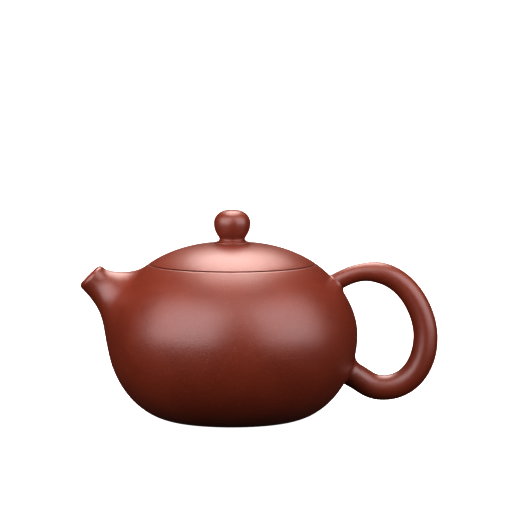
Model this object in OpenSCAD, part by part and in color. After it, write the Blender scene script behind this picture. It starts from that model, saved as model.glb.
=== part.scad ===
// Round yixing clay teapot: cut lid with a ball knob, stub spout and ear-shaped handle.
// Millimetres, +Z up. The origin is the middle of the base, at the height of the table,
// and the spout points towards -X.

/* [Body] */
// Widest diameter of the belly
belly_d = 92; // [90:0.5:94]
// Height of the widest point
belly_z = 31.4; // [30.6:0.1:32.4]
// Thickness of the clay wall
wall = 3; // [2.6:0.1:3.3]
// Outer diameter of the ring that the pot stands on
stand_d = 41.4; // [40:0.2:43]
// Depth of the dimple pressed into the base
dimple = 1.2; // [0.8:0.1:1.6]

/* [Lid] */
// Diameter of the lid at the seam
lid_d = 61.4; // [60.8:0.2:62.2]
// Height of the seam above the table
seam_z = 57.5; // [57.1:0.1:57.9]
// Rise of the lid's dome above the seam
dome_h = 7.7; // [7.3:0.1:8]
// Depth of the flange inside the mouth
flange_h = 7.5; // [6:0.5:9]
// Play between the flange and the mouth, all round
play = 0.3; // [0.2:0.05:0.5]
// Radius of the vent through the knob
vent_r = 1; // [0.8:0.1:1.2]

/* [Knob] */
// Diameter of the ball
knob_d = 13.4; // [12.8:0.1:14]
// Height of the knob above its collar
knob_h = 11.2; // [10.8:0.1:11.6]
// Diameter of the collar's skirt where it meets the lid
collar_d = 13.4; // [13:0.1:13.6]

/* [Spout] */
// Distance from the pot's axis to the middle of the lip
lip_x = 52.3; // [52:0.1:53]
// Height of the middle of the lip
lip_z = 53.6; // [53:0.1:54]
// Outer diameter of the lip
lip_d = 11; // [10.6:0.1:11.2]
// Tilt of the spout's mouth above the horizontal
lip_tilt = 46; // [44:1:48]
// Diameter of the channel at the lip
channel_d = 6.6; // [6:0.1:7]

/* [Handle] */
// Distance from the pot's axis to the outermost point of the handle's centre line
handle_x = 70.9; // [70:0.1:71.5]
// Diameter of the handle at its upper joint
handle_top_d = 6.4; // [6:0.1:6.8]
// Diameter of the handle at its lower joint
handle_low_d = 9.3; // [8.9:0.1:9.7]

/* [Strainer] */
// Diameter of the hole in the wall that holds the ball strainer
hole_d = 12; // [11.5:0.1:12.5]
// Diameter of each strainer hole
sieve_d = 1.6; // [1.2:0.1:1.8]

/* [Hidden] */
$fn = 96;
clay = [0.49, 0.2, 0.14];

belly_r = belly_d / 2;
stand_r = stand_d / 2;
stand_w = 1.5;
lid_r = lid_d / 2;
dome_z = seam_z + dome_h;
dome_flat_r = 6.9;
rim_w = 2.9;
mouth_r = lid_r - rim_w;
seam_slope = 35;
seam_edge = 0.3;
floor_z = dimple + wall;
collar_h = 1;
knob_z = dome_z + collar_h;
knob_top = knob_z + knob_h;

// Radii where the base disc, the belly wall, the shoulder and the mouth ring meet.
base_cut = 28;
shoulder_cut = 39.5;
mouth_cut = 34;

// Points along one cubic curve, n steps long.
function curve(a, b, c, d, n) =
    [for (i = [0:n])
        let (t = i / n, u = 1 - t)
        u * u * u * a + 3 * u * u * t * b + 3 * u * t * t * c + t * t * t * d];

function tail(points) = [for (i = [1:len(points) - 1]) points[i]];
function backwards(points) = [for (i = [len(points) - 1:-1:0]) points[i]];
function part_of(points, i, j) = [for (k = [i:j]) points[k]];
function unit(v) = v / norm(v);
function mix(a, b, t) = a + (b - a) * t;

// A line of points moved sideways, to its left.
function inset(points, d) =
    [for (i = [0:len(points) - 1])
        let (t = unit(points[min(i + 1, len(points) - 1)] - points[max(i - 1, 0)]))
        points[i] + d * [-t[1], t[0]]];

// Outer line of the pot as [radius, height], from the standing ring to the seam.
seam = [lid_r, seam_z];
seam_way = [-cos(seam_slope), sin(seam_slope)];
belly = [belly_r, belly_z];
low_line = curve([stand_r, 0], [stand_r + 16.6, 1.5], belly - [0, 13.3], belly, 22);
high_line = curve(belly, belly + [0, 10.2], seam - 10.5 * seam_way, seam, 18);
skin = concat(low_line, tail(high_line));
lining = inset(skin, wall);
last = len(skin) - 1;

// First point above the belly's widest that lies within a radius.
low_n = len(low_line);
base_i = min([for (i = [0:low_n - 1]) if (skin[i][0] >= base_cut) i]);
shoulder_i = min([for (i = [low_n:last]) if (skin[i][0] <= shoulder_cut) i]);
mouth_i = min([for (i = [low_n:last]) if (skin[i][0] <= mouth_cut) i]);

// Radius and slope of the outer surface at a height.
radius_table = [for (p = skin) [p[1], p[0]]];
function skin_r(z) = lookup(z, radius_table);
function skin_way(z) = unit([skin_r(z + 1) - skin_r(z - 1), 2]);

// Outer line of the lid, from the seam to the flat under the knob.
dome = curve(seam, seam + 9.6 * seam_way, [dome_flat_r + 5.7, dome_z], [dome_flat_r, dome_z], 22);
dome_lining = inset(dome, wall);

// Where the strainer's hole goes through the wall.
hole_r = hole_d / 2;
hole_z = 43;
hole_x = skin_r(hole_z);
hole_tilt = acos(skin_way(hole_z)[1]);

// Where the spout's foot and the handle's ends stand off the wall, and by how much.
foot_gap = 0.06;
foot_edge = 0.2;

module turned(points) {
    rotate_extrude() polygon(points);
}

// ---------- body ----------

module base_disc() {
    wall_foot = lining[base_i];
    underside = curve([stand_r - stand_w, 0], [stand_r - stand_w - 1.5, 0], [16, dimple], [13, dimple], 8);
    color(clay) turned(concat(
        backwards(underside),
        part_of(skin, 0, base_i),
        [wall_foot, [wall_foot[0] - 4, floor_z], [0, floor_z], [0, dimple]]
    ));
}

module at_hole() {
    translate([-hole_x, 0, hole_z]) rotate([0, hole_tilt - 90, 0]) children();
}

module body_wall() {
    color(clay) difference() {
        turned(concat(
            part_of(skin, base_i, shoulder_i),
            backwards(part_of(lining, base_i, shoulder_i))
        ));
        at_hole() translate([0, 0, -2 * wall]) cylinder(r = hole_r, h = 3 * wall);
    }
}

module shoulder_ring() {
    color(clay) turned(concat(
        part_of(skin, shoulder_i, mouth_i),
        backwards(part_of(lining, shoulder_i, mouth_i))
    ));
}

module mouth_ring() {
    edge = seam - seam_edge * seam_way;
    color(clay) turned(concat(
        part_of(skin, mouth_i, last - 1),
        [edge, [lid_r - seam_edge, seam_z], [mouth_r, seam_z], [mouth_r, lining[mouth_i][1]]],
        [lining[mouth_i]]
    ));
}

// Half ball with holes, on a short sleeve that is set into the wall behind the spout.
sleeve_r = hole_r - 0.05;
sleeve_h = wall - 0.7;
ball_r = sleeve_r - 0.4;
ball_wall = 1.3;
sieve_rings = [[0, 1], [32, 6], [62, 10]];

module strainer() {
    color(clay) at_hole() translate([0, 0, -wall]) difference() {
        union() {
            cylinder(r = sleeve_r, h = sleeve_h);
            sphere(r = ball_r);
        }
        cylinder(r = sleeve_r - ball_wall, h = 2 * wall + ball_r);
        sphere(r = ball_r - ball_wall);
        for (ring = sieve_rings, k = [1:ring[1]])
            rotate([0, 0, 360 * k / ring[1]]) rotate([180 - ring[0], 0, 0])
                translate([0, 0, ball_r - 2 * ball_wall]) cylinder(r = sieve_d / 2, h = 3 * ball_wall);
    }
}

// ---------- spout ----------

lip_r = lip_d / 2;
channel_r = channel_d / 2;
lip_round = 1.1;
lip_mid = [-lip_x, 0, lip_z];
lip_way = [-cos(lip_tilt), 0, sin(lip_tilt)];
lip_up = [sin(lip_tilt), 0, cos(lip_tilt)];
foot_top = seam_z - 0.4;
foot_bottom = 22.9;
foot_mid = (foot_top + foot_bottom) / 2;
foot_half = (foot_top - foot_bottom) / 2;
foot_turn = 24;
root_half = 5.2;
root_turn = 7.6;
spout_columns = 48;

// A point on the spout's side of the pot, a little off the wall.
function on_wall(z, turn, gap) =
    let (r = skin_r(z) + gap)
    [-r * cos(turn), r * sin(turn), z];

function foot_place(a) = [foot_mid + foot_half * cos(a), foot_turn * sin(a)];
function root_place(a) = [hole_z + root_half * cos(a), root_turn * sin(a)];
function lip_point(a, r, out) = lip_mid + r * (cos(a) * lip_up + sin(a) * [0, 1, 0]) + out * lip_way;

// One section of the spout: up its outside, over the lip, down the channel and back along the wall.
function spout_column(a) =
    let (
        place = foot_place(a),
        root = root_place(a),
        foot = on_wall(place[0], place[1], foot_edge),
        nearer = mix(place, [foot_mid, 0], 0.04),
        foot_way = unit(on_wall(nearer[0], nearer[1], foot_edge) - foot),
        lip = lip_point(a, lip_r, -lip_round),
        outside = curve(foot, foot + (9.9 - 3.6 * cos(a)) * foot_way,
            lip - (7.95 - 5.55 * cos(a)) * lip_way, lip, 14),
        top = concat(
            [for (t = [22.5, 45, 67.5, 90])
                lip_point(a, lip_r - lip_round * (1 - cos(t)), -lip_round * (1 - sin(t)))],
            [lip_point(a, channel_r + 0.35, 0), lip_point(a, channel_r + 0.08, -0.2)]
        ),
        throat = lip_point(a, channel_r, -0.5),
        wall_end = on_wall(root[0], root[1], foot_gap),
        hole_out = [-sin(90 - hole_tilt), 0, cos(90 - hole_tilt)],
        channel = curve(throat, throat - 6 * lip_way, wall_end + 5 * hole_out, wall_end, 10),
        underside = [for (k = [1:7])
            let (at = mix(root, place, k / 7))
            on_wall(at[0], at[1], foot_gap)]
    )
    concat(outside, top, channel, underside);

// Closed skin over a grid of points that joins up both ways.
module ring_skin(grid) {
    n = len(grid);
    m = len(grid[0]);
    faces = [for (i = [0:n - 1], j = [0:m - 1])
        let (a = i * m + j, b = i * m + (j + 1) % m, c = (i + 1) % n * m + (j + 1) % m, d = (i + 1) % n * m + j)
        each [[a, c, b], [a, d, c]]];
    polyhedron([for (row = grid) each row], faces);
}

module spout() {
    color(clay) ring_skin([for (k = [0:spout_columns - 1]) spout_column(360 * k / spout_columns)]);
}

// ---------- handle ----------

handle_sides = 32;
handle_start = [belly_r - 6.4, seam_z - 5.8];
handle_out = [handle_x, belly_z - 0.6];
handle_bottom = [55.3, 12];
handle_end = [46, 15.8];
start_way = [cos(28), sin(28)];
end_way = [cos(150), sin(150)];
handle_line = concat(
    curve(handle_start, handle_start + 22.4 * start_way, handle_out + [0, 11.8], handle_out, 26),
    tail(curve(handle_out, handle_out - [0, 9.5], handle_bottom + [10.5, 0], handle_bottom, 22)),
    tail(curve(handle_bottom, handle_bottom - [4.6, 0], handle_end - 3 * end_way, handle_end, 6))
);
handle_n = len(handle_line) - 1;

// How the radius grows along the centre line: quickly over the shoulder of the handle,
// then slowly on to the outermost point.
function handle_r(t) =
    let (quick = 1 / (1 + exp((0.1 - t) / 0.018)), slow = min(max((t - 0.16) / 0.4, 0), 1))
    mix(handle_top_d, handle_low_d, 0.58 * quick + 0.42 * slow) / 2;

function line_way(i) = unit(handle_line[min(i + 1, handle_n)] - handle_line[max(i - 1, 0)]);
function off_line(p) = [p[0], 0, p[1]];
function spoke(way, a) = cos(a) * [-way[1], 0, way[0]] + sin(a) * [0, 1, 0];
spoke_turns = [for (k = [0:handle_sides - 1]) 360 * k / handle_sides];

// Follows a straight line from outside the pot until it meets the wall.
function land(p, way, near = 0, far = 14, n = 22) =
    let (mid = (near + far) / 2, q = p + mid * way)
    n == 0 ? p + near * way
        : norm([q[0], q[1]]) > skin_r(q[2]) + foot_gap ? land(p, way, mid, far, n - 1)
        : land(p, way, near, mid, n - 1);

// Rings of one handle end: its flare towards the wall, then the face that lies on the wall.
// The flare is widest on the side that faces the fingers.
joint_flare = [0.3, 2.2];
function flare(a) = mix(joint_flare[0], joint_flare[1], (1 - cos(a)) / 2);

function handle_joint(i, way) =
    let (mid = off_line(handle_line[i]), r = handle_r(i / handle_n), into = off_line(way))
    concat(
        [for (t = [0.25, 0.5, 0.75, 1])
            [for (a = spoke_turns)
                let (
                    u = spoke(line_way(i), a),
                    start = mid + r * u,
                    end = land(start + flare(a) * u, into)
                )
                mix(start, end - flare(a) * u, t) + flare(a) * pow(t, 3) * u]],
        [for (f = [0.7, 0.4, 0.1])
            [for (a = spoke_turns) land(mid + f * (r + flare(a)) * spoke(line_way(i), a), into)]]
    );

// Closed skin over a row of rings, with a flat patch at both ends.
module tube_skin(rings) {
    n = len(rings);
    m = len(rings[0]);
    sides = [for (i = [0:n - 2], j = [0:m - 1])
        let (a = i * m + j, b = i * m + (j + 1) % m)
        each [[a, b, b + m], [a, b + m, a + m]]];
    ends = [[for (j = [m - 1:-1:0]) j], [for (j = [0:m - 1]) (n - 1) * m + j]];
    polyhedron([for (ring = rings) each ring], concat(sides, ends));
}

module handle() {
    middle = [for (i = [0:handle_n])
        [for (a = spoke_turns) off_line(handle_line[i]) + handle_r(i / handle_n) * spoke(line_way(i), a)]];
    color(clay) tube_skin(concat(
        backwards(handle_joint(0, -start_way)),
        middle,
        handle_joint(handle_n, end_way)
    ));
}

// ---------- lid ----------

module lid_plate() {
    under = [for (p = dome_lining) if (p[0] < mouth_r - play - 3) p];
    edge = seam + seam_edge * seam_way;
    color(clay) turned(concat(
        [edge],
        tail(dome),
        [[vent_r, dome_z], [1.8 * vent_r, dome_z - wall]],
        backwards(under),
        [[mouth_r - play - 3, seam_z], [lid_r - seam_edge, seam_z]]
    ));
}

module lid_flange() {
    outer = mouth_r - play;
    taper = 0.3;
    color(clay) turned([
        [outer, seam_z],
        [outer, seam_z - flange_h + 0.6],
        [outer - taper, seam_z - flange_h],
        [outer - 2.2, seam_z - flange_h],
        [outer - 2.6, seam_z]
    ]);
}

module knob_collar() {
    r = collar_d / 2;
    rim = [r - 0.15, dome_z + 0.28];
    bead = [r - 1.55, dome_z + 0.68];
    color(clay) turned(concat(
        [[vent_r, dome_z], [r - 0.25, dome_z], [r, dome_z + 0.14]],
        curve(rim, rim + [-0.6, 0.1], bead - [0, 0.2], bead, 6),
        [[r - 1.58, knob_z - 0.12], [r - 1.68, knob_z], [vent_r, knob_z]]
    ));
}

module knob() {
    foot_r = collar_d / 2 - 1.75;
    foot = [foot_r, knob_z + 0.2];
    neck = [foot_r - 0.25, knob_z + 0.75];
    widest = [knob_d / 2, knob_z + 6.4];
    color(clay) turned(concat(
        [[vent_r, knob_z], [foot_r - 0.1, knob_z]],
        curve(foot, foot + [-0.25, 0.1], neck - [0, 0.3], neck, 5),
        tail(curve(neck, neck + [0.3, 0.95], widest - [0, 3.3], widest, 12)),
        tail(curve(widest, widest + [0, 2.8], [4.2, knob_top], [vent_r + 0.3, knob_top], 12)),
        [[vent_r, knob_top - 0.3]]
    ));
}

base_disc();
body_wall();
shoulder_ring();
mouth_ring();
strainer();
spout();
handle();
lid_plate();
lid_flange();
knob_collar();
knob();
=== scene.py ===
import math
from bisect import bisect

import bmesh
import bpy
from mathutils import Matrix, Vector


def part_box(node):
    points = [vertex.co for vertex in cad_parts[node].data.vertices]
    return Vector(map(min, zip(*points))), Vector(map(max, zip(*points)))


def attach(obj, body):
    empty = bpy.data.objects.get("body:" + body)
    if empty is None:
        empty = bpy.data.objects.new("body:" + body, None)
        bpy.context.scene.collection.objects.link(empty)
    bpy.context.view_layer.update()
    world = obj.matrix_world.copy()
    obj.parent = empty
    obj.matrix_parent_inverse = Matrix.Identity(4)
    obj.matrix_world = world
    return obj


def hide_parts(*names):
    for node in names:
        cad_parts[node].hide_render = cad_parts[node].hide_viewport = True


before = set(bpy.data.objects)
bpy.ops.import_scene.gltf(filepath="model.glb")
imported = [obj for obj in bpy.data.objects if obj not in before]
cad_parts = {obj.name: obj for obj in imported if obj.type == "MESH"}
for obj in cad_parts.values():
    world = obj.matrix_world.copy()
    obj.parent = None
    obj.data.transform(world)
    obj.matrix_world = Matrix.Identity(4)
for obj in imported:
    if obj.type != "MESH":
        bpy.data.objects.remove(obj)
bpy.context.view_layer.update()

scene = bpy.context.scene
mm = 0.001  # sizes below are in millimetres, meshes are in metres
sharpAngle = math.radians(40)
print("frame loaded")


# ---- curves, all as lists of vectors in millimetres

def bezier(a, b, c, d, steps, ease=1.0):
    points = []
    for i in range(steps + 1):
        t = (i / steps) ** ease
        u = 1 - t
        points.append(u * u * u * a + 3 * u * u * t * b + 3 * u * t * t * c + t * t * t * d)
    return points


def corner(before, tip, after, steps=6):
    # rounds off the corner at tip
    return bezier(before, before.lerp(tip, 0.56), after.lerp(tip, 0.56), after, steps)


def inset(points, depth):
    # moves a line to its left
    moved = []
    for i, point in enumerate(points):
        way = (points[min(i + 1, len(points) - 1)] - points[max(i - 1, 0)]).normalized()
        moved.append(point + depth * Vector((-way.y, way.x)))
    return moved


def nodeBox(node):
    low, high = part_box(node)
    return Vector(low) / mm, Vector(high) / mm


# ---- meshes

def turned(outline, steps=192):
    # spins an outline of (radius, height) points round the pot's axis
    bm = bmesh.new()
    ring = [bm.verts.new((p.x * mm, 0, p.y * mm)) for p in outline]
    edges = [bm.edges.new(pair) for pair in zip(ring, ring[1:])]
    if min(outline[0].x, outline[-1].x) > 0:
        edges.append(bm.edges.new((ring[-1], ring[0])))
    bmesh.ops.spin(bm, geom=ring + edges, cent=(0, 0, 0), axis=(0, 0, 1), angle=math.tau,
                   steps=steps, use_merge=True)
    bmesh.ops.remove_doubles(bm, verts=bm.verts, dist=1e-6)
    bmesh.ops.recalc_face_normals(bm, faces=bm.faces)
    return bm


def lofted(rings, closed=False):
    # bridges one ring of points to the next, and caps both ends unless the rings close up
    bm = bmesh.new()
    loops = []
    for ring in rings:
        verts = [bm.verts.new(p * mm) for p in ring]
        loops.append([bm.edges.new(pair) for pair in zip(verts, verts[1:] + verts[:1])])
    for one, other in zip(loops, loops[1:]):
        bmesh.ops.bridge_loops(bm, edges=one + other)
    if closed:
        bmesh.ops.bridge_loops(bm, edges=loops[-1] + loops[0])
    else:
        bmesh.ops.holes_fill(bm, edges=bm.edges, sides=len(rings[0]))
    bmesh.ops.recalc_face_normals(bm, faces=bm.faces)
    return bm


def cutBy(piece, cutter):
    # takes the cutter's shape out of the piece
    cut = piece.modifiers.new("cut", "BOOLEAN")
    cut.object = cutter
    cut.solver = "EXACT"
    bpy.context.view_layer.update()
    mesh = bpy.data.meshes.new_from_object(piece.evaluated_get(bpy.context.evaluated_depsgraph_get()))
    piece.modifiers.clear()
    piece.data = mesh
    bpy.data.objects.remove(cutter)


def toObject(bm, name):
    mesh = bpy.data.meshes.new(name)
    bm.to_mesh(mesh)
    bm.free()
    piece = bpy.data.objects.new(name, mesh)
    scene.collection.objects.link(piece)
    return piece


def curvature(vert):
    # how sharply the surface bends outwards at a vertex, per millimetre
    sharpest = 0
    for edge in vert.link_edges:
        if len(edge.link_faces) == 2:
            one, other = edge.link_faces
            apart = (one.calc_center_median() - other.calc_center_median()).length / mm
            sharpest = max(sharpest, edge.calc_face_angle_signed(0) / max(apart, 0.02))
    return sharpest


def finishPiece(piece, body, nodes, material, insideRule=None):
    mesh = piece.data
    bm = bmesh.new()
    bm.from_mesh(mesh)
    bm.normal_update()
    start, span = clay["wornFrom"], clay["wornTo"] - clay["wornFrom"]
    worn = [min(max((curvature(v) - start) / span, 0), 1) for v in bm.verts]
    bm.free()
    mesh.attributes.new("worn", "FLOAT", "POINT").data.foreach_set("value", worn)
    inner = [insideRule(v.co / mm) if insideRule else 0.0 for v in mesh.vertices]
    mesh.attributes.new("inside", "FLOAT", "POINT").data.foreach_set("value", inner)
    mesh.shade_smooth()
    mesh.set_sharp_from_angle(angle=sharpAngle)
    mesh.materials.clear()
    mesh.materials.append(material)
    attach(piece, body)
    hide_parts(*nodes)
    print("made", piece.name)


# ---- clay

class Wire:
    # a socket that can be used in sums
    def __init__(self, tree, socket=None):
        self.tree = tree
        self.socket = socket

    def node(self, kind, settings, inputs, out=0):
        made = self.tree.nodes.new("ShaderNode" + kind)
        for key, value in settings.items():
            if key == "stops":
                for i, (place, tone) in enumerate(value):
                    stop = made.color_ramp.elements[i] if i < 2 else made.color_ramp.elements.new(place)
                    stop.position = place
                    stop.color = tone
            else:
                setattr(made, key, value)
        for key, value in inputs.items():
            if isinstance(value, Wire):
                self.tree.links.new(value.socket, made.inputs[key])
            else:
                made.inputs[key].default_value = value
        return Wire(self.tree, made.outputs[out])

    def sum(self, operation, *values):
        return self.node("Math", {"operation": operation}, dict(enumerate(values)))

    def __add__(self, other):
        return self.sum("ADD", self, other)

    def __sub__(self, other):
        return self.sum("SUBTRACT", self, other)

    def __rsub__(self, other):
        return self.sum("SUBTRACT", other, self)

    def __mul__(self, other):
        return self.sum("MULTIPLY", self, other)

    __radd__ = __add__
    __rmul__ = __mul__

    def between(self, low, high):
        # 0 up to low, 1 from high on, smooth in the middle
        return self.node("MapRange", {"interpolation_type": "SMOOTHSTEP"},
                         {0: self, 1: low, 2: high, 3: 0.0, 4: 1.0})

    def grain(self, scale, detail=2.0, stretch=(1, 1, 1)):
        place = self.node("Mapping", {}, {"Vector": self, "Scale": stretch})
        return self.node("TexNoise", {}, {"Vector": place, "Scale": scale, "Detail": detail}, "Fac")

    def tint(self, one, other):
        # a colour that goes from one to the other with this value
        return self.node("Mix", {"data_type": "RGBA"}, {0: self, 6: one, 7: other}, 2)


clay = {
    "red": (0.158, 0.0262, 0.0086, 1),
    "brown": (0.122, 0.0195, 0.0066, 1),
    "sand": (0.330, 0.120, 0.060, 1),
    "iron": (0.040, 0.010, 0.007, 1),
    "rubbed": (0.210, 0.050, 0.026, 1),
    "stain": (0.055, 0.015, 0.007, 1),
    "roughness": 0.38,
    "ior": 1.65,
    "insideRoughness": 0.62,
    "tideLine": 0.049,  # height of the tea stain, in metres
    "wornFrom": 0.4,  # bend of an edge where wear starts and where it is full, per millimetre
    "wornTo": 1.8,
    "bump": 0.6,
    "bumpHeight": 0.00015,
}


def clayMaterial():
    material = bpy.data.materials.new("zishaClay")
    material.use_nodes = True
    tree = material.node_tree
    tree.nodes.clear()
    wire = Wire(tree)
    place = wire.node("TexCoord", {}, {}, "Object")
    inside = wire.node("Attribute", {"attribute_name": "inside"}, {}, "Fac")
    worn = wire.node("Attribute", {"attribute_name": "worn"}, {}, "Fac")

    cloud = place.grain(55, 3)
    mottle = place.grain(700, 2)
    fine = place.grain(2500, 2)
    specks = place.node("TexVoronoi", {}, {"Vector": place, "Scale": 1500, "Randomness": 1.0}, "Distance")
    pick = place.grain(1150, 0)
    sandSpeck = (1 - specks.between(0.12, 0.30)) * pick.between(0.56, 0.62)
    ironSpeck = (1 - specks.between(0.10, 0.26)) * (1 - pick.between(0.36, 0.42))
    strokes = place.grain(60, 2, (1, 1, 22))  # level marks of the burnishing tool

    tone = (cloud.between(0.35, 0.68) * 0.45 + mottle * 0.25 + fine * 0.3).tint(clay["brown"], clay["red"])
    tone = (sandSpeck * 0.4).tint(tone, clay["sand"])
    tone = (ironSpeck * 0.6).tint(tone, clay["iron"])
    tone = (worn * 0.5).tint(tone, clay["rubbed"])
    height = place.node("SeparateXYZ", {}, {"Vector": place}, "Z")
    tide = (height + cloud * 0.004).between(clay["tideLine"] + 0.0035, clay["tideLine"] - 0.001)
    steeped = inside * tide * (0.2 + mottle * 0.5)
    tone = steeped.tint(tone, clay["stain"])

    rough = clay["roughness"] + (cloud - 0.5) * 0.10 + (fine - 0.5) * 0.22 - worn * 0.08
    rough = rough + (strokes - 0.5) * 0.06
    rough = rough + inside * (clay["insideRoughness"] - clay["roughness"])

    relief = fine * 0.6 + mottle * 0.15 + strokes * 0.1 + sandSpeck * 0.1 - ironSpeck * 0.1
    relief = relief + inside * mottle * 1.5
    bump = wire.node("Bump", {}, {
        "Strength": clay["bump"], "Distance": clay["bumpHeight"], "Height": relief}, "Normal")
    shader = wire.node("BsdfPrincipled", {}, {
        "Base Color": tone, "Roughness": rough, "Normal": bump, "IOR": clay["ior"],
    })
    tree.links.new(shader.socket, tree.nodes.new("ShaderNodeOutputMaterial").inputs["Surface"])
    return material


zisha = clayMaterial()


# ---- the pot's shell: base, belly, shoulder and mouth as one burnished skin

shell = {
    "bellyZ": 31.4,
    "wall": 3.0,
    "dimple": 1.2,
    "standR": 20.7,
    "standWidth": 1.5,
    "lidR": 30.7,
    "mouthR": 27.8,
    "seamSlope": math.radians(35),
    "rimRound": 0.6,
    "standPull": (16.6, 1.5),  # how far the skin's two curves are pulled at each of their ends
    "lowPull": 13.3,
    "highPull": 10.2,
    "seamPull": 10.5,
}
bellyR = nodeBox("body_wall")[1].x
seamZ = nodeBox("mouth_ring")[1].z
seam = Vector((shell["lidR"], seamZ))
seamWay = Vector((-math.cos(shell["seamSlope"]), math.sin(shell["seamSlope"])))
belly = Vector((bellyR, shell["bellyZ"]))
stand = Vector((shell["standR"], 0))
lowLine = bezier(stand, stand + Vector(shell["standPull"]), belly - Vector((0, shell["lowPull"])), belly, 44)
highLine = bezier(belly, belly + Vector((0, shell["highPull"])), seam - shell["seamPull"] * seamWay, seam, 40)
skin = lowLine + highLine[1:]
skinHeights = [p.y for p in skin]


def skinR(z):
    i = min(max(bisect(skinHeights, z), 1), len(skin) - 1)
    one, other = skin[i - 1], skin[i]
    return one.x + (other.x - one.x) * (z - one.y) / (other.y - one.y)


def radius(p):
    return math.hypot(p.x, p.y)


def makeShell():
    wall, dimple, rimRound = shell["wall"], shell["dimple"], shell["rimRound"]
    floorZ = dimple + wall
    standIn = Vector((shell["standR"] - shell["standWidth"], 0))
    underside = bezier(Vector((13, dimple)), Vector((16, dimple)), standIn - Vector((1.5, 0)), standIn, 12)
    lining = [p for p in inset(skin, wall) if p.y > floorZ + 2 and p.x > shell["mouthR"] + 1.5]
    floorEnd = Vector((lining[0].x - 7, floorZ))
    outer = [p for p in skin if p.y < seamZ - rimRound * math.sin(shell["seamSlope"])]
    mouth = Vector((shell["mouthR"], seamZ))
    neck = Vector((shell["mouthR"], seamZ - 2.6))
    outline = [Vector((0, dimple))] + underside + outer[1:]
    outline += corner(seam - rimRound * seamWay, seam, seam - Vector((rimRound, 0)))
    outline += corner(mouth + Vector((0.3, 0)), mouth, mouth - Vector((0, 0.3)), 4)
    outline += bezier(neck, neck - Vector((0, 1.2)), lining[-1] + Vector((-1.2, 1.0)), lining[-1], 6)
    outline += lining[-2::-1]
    outline += bezier(lining[0], lining[0] - Vector((1.5, 1.3)), floorEnd + Vector((3, 0)), floorEnd, 8)[1:]
    outline += [Vector((0, floorZ))]
    piece = toObject(turned(outline), "pot_shell")

    hole = bmesh.new()
    bmesh.ops.create_cone(hole, cap_ends=True, segments=96, radius1=holeR * mm, radius2=holeR * mm,
                          depth=3 * wall * mm, matrix=holePlace @ Matrix.Translation((0, 0, -wall * mm / 2)))
    cutBy(piece, toObject(hole, "holeCutter"))

    def insidePot(p):
        return 1.0 if p.z > dimple + 1.5 and radius(p) < skinR(min(p.z, seamZ)) - wall * 0.4 else 0.0

    finishPiece(piece, "pot", ["base_disc", "body_wall", "shoulder_ring", "mouth_ring"], zisha, insidePot)


# ---- strainer, a half ball with holes on a short sleeve set into the wall

strainer = {
    "holeR": 6.0,
    "holeZ": 43.0,
    "sleeveH": 2.3,
    "ballWall": 1.3,
    "sieveR": 0.8,
    "rings": [(0, 1), (32, 6), (62, 10)],  # degrees from the ball's tip, and how many holes
}
holeR, holeZ = strainer["holeR"], strainer["holeZ"]
holeWay = Vector((-2, 0, skinR(holeZ - 1) - skinR(holeZ + 1))).normalized()
holeMid = Vector((-skinR(holeZ), 0, holeZ))
holePlace = Matrix.Translation(holeMid * mm) @ holeWay.to_track_quat("Z", "Y").to_matrix().to_4x4()


def makeStrainer():
    sleeveR = holeR - 0.05
    ballR = sleeveR - 0.4
    thick = strainer["ballWall"]
    turns = [math.radians(90 * k / 16) for k in range(17)]
    outer = [Vector((math.sin(a), -math.cos(a))) * ballR for a in turns]
    inner = [Vector((math.sin(a), -math.cos(a))) * (ballR - thick) for a in turns]
    outline = outer + [Vector((sleeveR, 0.1)), Vector((sleeveR, strainer["sleeveH"]))]
    outline += [Vector((sleeveR - thick, strainer["sleeveH"])), Vector((sleeveR - thick, 0.1))] + inner[::-1]
    bm = turned(outline, 64)
    place = holePlace @ Matrix.Translation((0, 0, -shell["wall"] * mm))
    bmesh.ops.transform(bm, matrix=place, verts=bm.verts)
    piece = toObject(bm, "ball_strainer")
    holes = bmesh.new()
    for tilt, count in strainer["rings"]:
        for k in range(count):
            lean = Matrix.Rotation(math.radians(180 - tilt), 4, "X")
            way = Matrix.Rotation(math.tau * k / count, 4, "Z") @ lean
            bmesh.ops.create_cone(
                holes, cap_ends=True, segments=20, radius1=strainer["sieveR"] * mm,
                radius2=strainer["sieveR"] * mm, depth=3 * thick * mm,
                matrix=place @ way @ Matrix.Translation((0, 0, (ballR - thick / 2) * mm)))
    cutBy(piece, toObject(holes, "sieveCutter"))
    finishPiece(piece, "pot", ["strainer"], zisha, lambda p: 1.0)


# ---- spout

spout = {
    "lipX": 52.3,
    "lipZ": 53.6,
    "lipR": 5.5,
    "channelR": 3.3,
    "tilt": math.radians(46),
    "lipRound": 1.6,
    "footTop": 0.4,  # below the seam
    "footBottom": 22.9,
    "footTurn": math.radians(24),
    "footGap": 0.012,
    "footPull": (9.9, 3.6),  # at the sides, and how much less on top and more below
    "lipPull": (7.95, 5.55),
    "rootHalf": 5.2,
    "rootTurn": math.radians(7.6),
    "columns": 96,
}
lipMid = Vector((-spout["lipX"], 0, spout["lipZ"]))
lipWay = Vector((-math.cos(spout["tilt"]), 0, math.sin(spout["tilt"])))
lipUp = Vector((math.sin(spout["tilt"]), 0, math.cos(spout["tilt"])))


def onWall(z, turn, gap):
    r = skinR(z) + gap
    return Vector((-r * math.cos(turn), r * math.sin(turn), z))


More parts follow.
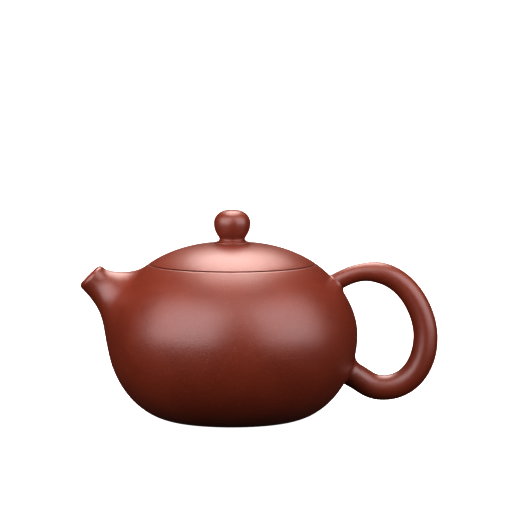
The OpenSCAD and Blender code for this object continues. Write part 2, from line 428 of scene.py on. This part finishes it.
def spoutSection(a):
    # up the outside, over the lip, down the channel and back along the wall
    up, across = math.cos(a), math.sin(a)
    top = seamZ - spout["footTop"]
    mid, half = (top + spout["footBottom"]) / 2, (top - spout["footBottom"]) / 2
    place = Vector((mid + half * up, spout["footTurn"] * across))
    root = Vector((holeZ + spout["rootHalf"] * up, spout["rootTurn"] * across))
    nearer = place.lerp(Vector((mid, 0)), 0.01)
    gap = spout["footGap"]

    def lipPoint(r, out):
        return lipMid + r * (up * lipUp + across * Vector((0, 1, 0))) + out * lipWay

    foot = onWall(place.x, place.y, gap)
    footWay = (onWall(nearer.x, nearer.y, gap) - foot).normalized()
    lipR, channelR, lipRound = spout["lipR"], spout["channelR"], spout["lipRound"]
    lip = lipPoint(lipR, -lipRound)
    footPull = spout["footPull"][0] - spout["footPull"][1] * up
    lipPull = spout["lipPull"][0] - spout["lipPull"][1] * up
    section = bezier(foot, foot + footPull * footWay, lip - lipPull * lipWay, lip, 40, 1.4)
    section += corner(lip, lipPoint(lipR, 0), lipPoint(lipR - lipRound, 0), 8)[1:]
    throat = lipPoint(channelR, -0.5)
    section += corner(lipPoint(channelR + 0.45, 0), lipPoint(channelR, 0), throat, 5)
    end = onWall(root.x, root.y, gap)
    section += bezier(throat, throat - 6 * lipWay, end + 5 * holeWay, end, 20)[1:]
    for k in range(1, 11):
        at = root.lerp(place, k / 11)
        section.append(onWall(at.x, at.y, gap / 2))
    return section


def makeSpout():
    sections = [spoutSection(math.tau * k / spout["columns"]) for k in range(spout["columns"])]
    piece = toObject(lofted(list(zip(*sections)), closed=True), "spout_skin")

    def inChannel(p):
        deep = (p - lipMid).dot(lipWay)
        off = ((p - lipMid) - deep * lipWay).length
        return 1.0 if deep < -1 and off < spout["channelR"] + 0.4 - 0.12 * deep else 0.0

    finishPiece(piece, "pot", ["spout"], zisha, inChannel)


# ---- handle

handle = {
    "start": (39.6, 51.7),
    "out": (70.9, 30.8),
    "low": (55.3, 12),
    "end": (46, 15.8),
    "startTurn": math.radians(28),
    "endTurn": math.radians(150),
    "startPull": 22.4,
    "outPull": (11.8, 9.5),  # how far the curve is pulled before and after the point
    "lowPull": (10.5, 4.6),
    "endPull": 3,
    "topR": 3.2,
    "lowR": 4.65,
    "sides": 64,
    "fillet": (0.4, 2.8),  # on the outside of the loop and on the side that faces the fingers
}
startWay = Vector((math.cos(handle["startTurn"]), math.sin(handle["startTurn"])))
endWay = Vector((math.cos(handle["endTurn"]), math.sin(handle["endTurn"])))


def flat(p):
    return Vector((p.x, 0, p.y))


def land(point, way):
    # follows a straight line from outside the pot until it meets the skin
    near, far = 0.0, 14.0
    for _ in range(30):
        mid = (near + far) / 2
        at = point + mid * way
        if radius(at) > skinR(at.z) + spout["footGap"]:
            near = mid
        else:
            far = mid
    return point + near * way


def handleRadius(t):
    # grows quickly over the shoulder of the handle, then slowly on to its outermost point
    quick = 1 / (1 + math.exp((0.1 - t) / 0.018))
    slow = min(max((t - 0.16) / 0.4, 0), 1)
    return handle["topR"] + (handle["lowR"] - handle["topR"]) * (0.58 * quick + 0.42 * slow)


def jointRings(mid, way, across, r, steps=8):
    # the end of the handle: its fillet against the wall, then the face that lies on the wall
    sections = []
    for k in range(handle["sides"]):
        a = math.tau * k / handle["sides"]
        u = math.cos(a) * across + math.sin(a) * Vector((0, 1, 0))
        least, most = handle["fillet"]
        fillet = least + (most - least) * (1 - math.cos(a)) / 2
        start = mid + r * u
        tip = land(start, way)
        spread = land(mid + (r + fillet) * u, way)
        before = start.lerp(tip, max(1 - fillet / (tip - start).length, 0.05))
        section = [start.lerp(before, k / 3) for k in range(1, 3)]
        section += bezier(before, before.lerp(tip, 0.6), spread.lerp(tip, 0.6), spread, steps)
        section += [land(mid + f * (r + fillet) * u, way) for f in (0.8, 0.55, 0.3, 0.1)]
        sections.append(section)
    return [list(ring) for ring in zip(*sections)]


def makeHandle():
    start, out, low, end = (Vector(handle[key]) for key in ("start", "out", "low", "end"))
    above, below = (Vector((0, pull)) for pull in handle["outPull"])
    right, left = (Vector((pull, 0)) for pull in handle["lowPull"])
    line = bezier(start, start + handle["startPull"] * startWay, out + above, out, 44)
    line += bezier(out, out - below, low + right, low, 38)[1:]
    line += bezier(low, low - left, end - handle["endPull"] * endWay, end, 10)[1:]
    last = len(line) - 1
    turns = [math.tau * k / handle["sides"] for k in range(handle["sides"])]
    rings = []
    for i, p in enumerate(line):
        way = (line[min(i + 1, last)] - line[max(i - 1, 0)]).normalized()
        across = flat(Vector((-way.y, way.x)))
        r = handleRadius(i / last)
        if i == 0:
            rings += jointRings(flat(p), -flat(startWay), across, r)[::-1]
        rings.append([flat(p) + r * (math.cos(a) * across + math.sin(a) * Vector((0, 1, 0))) for a in turns])
        if i == last:
            rings += jointRings(flat(p), flat(endWay), across, r)
    piece = toObject(lofted(rings), "ear_handle")
    finishPiece(piece, "pot", ["handle"], zisha)


# ---- lid

lid = {
    "edgeRound": 0.15,
    "grooveH": 0.24,
    "grooveDepth": 1.3,
    "flatR": 6.9,
    "play": 0.3,
    "flangeH": 7.5,
    "flangeWidth": 2.6,
    "ventR": 1.0,
    "seamPull": 9.6,
    "flatPull": 5.7,
}
domeZ = nodeBox("knob_collar")[0].z
knobZ = nodeBox("knob")[0].z
knobTop = nodeBox("knob")[1].z
collarR = nodeBox("knob_collar")[1].x
knobR = nodeBox("knob")[1].x


def makeLid():
    wall = shell["wall"]
    edge = lid["edgeRound"]
    ventR = lid["ventR"]
    flatEnd = Vector((lid["flatR"], domeZ))
    dome = bezier(seam, seam + lid["seamPull"] * seamWay, flatEnd + Vector((lid["flatPull"], 0)), flatEnd, 48)
    under = [p for p in inset(dome, wall) if p.x < shell["mouthR"] - 4]
    hip = Vector((shell["mouthR"] - lid["play"] - 2.9, seamZ))
    tip = seam + lid["grooveH"] / math.sin(shell["seamSlope"]) * seamWay
    groove = Vector((seam.x - lid["grooveDepth"], seamZ))
    outline = [groove, Vector((groove.x + 0.2, tip.y))]
    outline += corner(tip - Vector((edge, 0)), tip, tip + edge * seamWay, 5)
    outline += [p for p in dome[1:] if p.y > tip.y + edge]
    outline += [Vector((ventR, domeZ)), Vector((1.8 * ventR, domeZ - wall))]
    outline += under[::-1]
    outline += [hip]
    piece = toObject(turned(outline), "lid_dome")

    def underLid(p):
        r = radius(p)
        if p.z < tip.y + 0.01 and r < tip.x - 0.1:
            return 1.0
        return 1.0 if r < hip.x + 1 and p.z < domeZ - wall + 0.1 - max(r - 8, 0) ** 2 / 70 else 0.0

    finishPiece(piece, "lid", ["lid_plate"], zisha, underLid)

    outer = shell["mouthR"] - lid["play"]
    low = seamZ - lid["flangeH"]
    foot = Vector((outer - 0.15, low))
    heel = Vector((outer - 2.2, low))
    outline = [Vector((outer, seamZ)), Vector((outer, low + 2.5))]
    outline += corner(Vector((outer - 0.05, low + 0.7)), foot, foot - Vector((0.7, 0)))
    outline += corner(heel + Vector((0.6, 0)), heel, heel + Vector((-0.05, 0.8)))
    outline += [Vector((outer - lid["flangeWidth"], seamZ))]
    piece = toObject(turned(outline), "lid_flange_ring")
    finishPiece(piece, "lid", ["lid_flange"], zisha, lambda p: 0.6)


knob = {
    "collarRim": (0.13, 0.42),  # in from the collar's edge and up from the lid
    "collarBead": (1.53, 0.78),
    "footIn": 1.75,
    "neckIn": 0.25,
    "neckH": 0.75,
    "widestH": 6.4,
    "lowPull": 3.3,
    "highPull": 2.8,
    "topWidth": 4.2,
    "ventRound": 0.35,
}


def makeKnob():
    ventR = lid["ventR"]
    rimIn, rimUp = knob["collarRim"]
    beadIn, beadUp = knob["collarBead"]
    skirt = Vector((collarR, domeZ))
    rim = Vector((collarR - rimIn, domeZ + rimUp))
    bead = Vector((collarR - beadIn, domeZ + beadUp))
    beadTop = Vector((collarR - 1.56, knobZ))
    outline = [Vector((ventR, domeZ)), skirt - Vector((0.25, 0))]
    outline += corner(skirt + Vector((-0.04, 0.1)), skirt + Vector((0, 0.3)), rim, 5)
    outline += bezier(rim, rim + Vector((-0.6, 0.12)), bead - Vector((0, 0.16)), bead, 12)[1:]
    outline += corner(beadTop - Vector((0, 0.2)), beadTop, beadTop - Vector((0.2, 0)), 8)
    outline += [Vector((ventR, knobZ))]
    piece = toObject(turned(outline, 128), "knob_collar_disc")
    finishPiece(piece, "lid", ["knob_collar"], zisha)

    footR = collarR - knob["footIn"]
    foot = Vector((footR, knobZ + 0.2))
    neck = Vector((footR - knob["neckIn"], knobZ + knob["neckH"]))
    widest = Vector((knobR, knobZ + knob["widestH"]))
    topPull = Vector((knob["topWidth"], knobTop))
    ventTop = Vector((ventR, knobTop))
    ventEdge = ventTop + Vector((knob["ventRound"], 0))
    outline = [Vector((ventR, knobZ)), Vector((footR - 0.1, knobZ))]
    outline += bezier(foot, foot + Vector((-0.25, 0.1)), neck - Vector((0, 0.3)), neck, 8)
    outline += bezier(neck, neck + Vector((0.3, 0.95)), widest - Vector((0, knob["lowPull"])), widest, 24)[1:]
    outline += bezier(widest, widest + Vector((0, knob["highPull"])), topPull, ventEdge, 24)[1:]
    outline += corner(ventEdge, ventTop, ventTop - Vector((0, knob["ventRound"])), 5)[1:]
    piece = toObject(turned(outline, 128), "ball_knob")
    finishPiece(piece, "lid", ["knob"], zisha)


makeShell()
makeStrainer()
makeSpout()
makeHandle()
makeLid()
makeKnob()


# ---- floor, light and camera

studio = {
    "leftBox": {"turn": -47, "rise": 26, "size": (1.40, 1.05), "power": 19.6, "color": (1, 0.93, 0.97)},
    "rightBox": {"turn": 57, "rise": 26, "size": (1.15, 1.05), "power": 14.4, "color": (1, 0.93, 0.97)},
    "frontBox": {"turn": 4, "rise": 58, "size": (1.20, 0.50), "power": 2.8, "color": (1, 0.90, 0.90)},
    "topBox": {"turn": 178, "rise": 66, "size": (0.62, 1.00), "power": 14.3, "color": (1, 0.91, 0.88)},
}
viewpoint = {"aim": (10.19, 0, 59), "rise": 5.6, "distance": 1.6, "lens": 302.6}
boxDistance = 1.0
boxCentre = Vector((0, 0, 35)) * mm


def direction(turn, rise):
    # turn is measured from the camera's side, positive to the right
    turn, rise = math.radians(turn), math.radians(rise)
    return Vector((math.sin(turn) * math.cos(rise), -math.cos(turn) * math.cos(rise), math.sin(rise)))


def softbox(name, turn, rise, size, power, color):
    light = bpy.data.lights.new(name, "AREA")
    light.shape = "RECTANGLE"
    light.size, light.size_y = size
    light.energy = power
    light.color = color
    lamp = bpy.data.objects.new(name, light)
    way = direction(turn, rise)
    lamp.location = boxCentre + boxDistance * way
    lamp.rotation_euler = way.to_track_quat("Z", "Y").to_euler()
    lamp.visible_camera = False
    scene.collection.objects.link(lamp)


for boxName, box in studio.items():
    softbox(boxName, **box)

floorHalf = 12  # metres
floorMesh = bmesh.new()
bmesh.ops.create_grid(floorMesh, x_segments=1, y_segments=1, size=floorHalf)
floor = toObject(floorMesh, "floor")
floorMaterial = bpy.data.materials.new("paleFloor")
floorMaterial.use_nodes = True
floorShader = floorMaterial.node_tree.nodes["Principled BSDF"]
floorShader.inputs["Base Color"].default_value = (0.85, 0.85, 0.85, 1)
floorShader.inputs["Roughness"].default_value = 0.9
floorShader.inputs["Specular IOR Level"].default_value = 0.1
floorShader.inputs["Emission Color"].default_value = (1, 1, 1, 1)
floorShader.inputs["Emission Strength"].default_value = 0.9
floor.data.materials.append(floorMaterial)
floor.visible_diffuse = False
floor.visible_glossy = False

world = bpy.data.worlds.new("studio")
world.use_nodes = True
scene.world = world
tree = world.node_tree
tree.nodes.clear()
sky = Wire(tree)
seen = sky.node("LightPath", {}, {}, "Is Camera Ray")
glow = sky.node("Background", {}, {"Color": (1, 1, 1, 1), "Strength": seen * 0.985 + 0.015})
tree.links.new(glow.socket, tree.nodes.new("ShaderNodeOutputWorld").inputs["Surface"])

camera = bpy.data.objects.new("camera", bpy.data.cameras.new("camera"))
camera.data.lens = viewpoint["lens"]
camera.data.sensor_width = 36
camera.data.clip_end = 30
viewWay = direction(0, viewpoint["rise"])
camera.location = Vector(viewpoint["aim"]) * mm + viewpoint["distance"] * viewWay
camera.rotation_euler = viewWay.to_track_quat("Z", "Y").to_euler()
scene.collection.objects.link(camera)
scene.camera = camera
scene.view_settings.view_transform = "Standard"
scene.view_settings.exposure = 0.2
scene.view_settings.gamma = 0.8

print("studio ready")
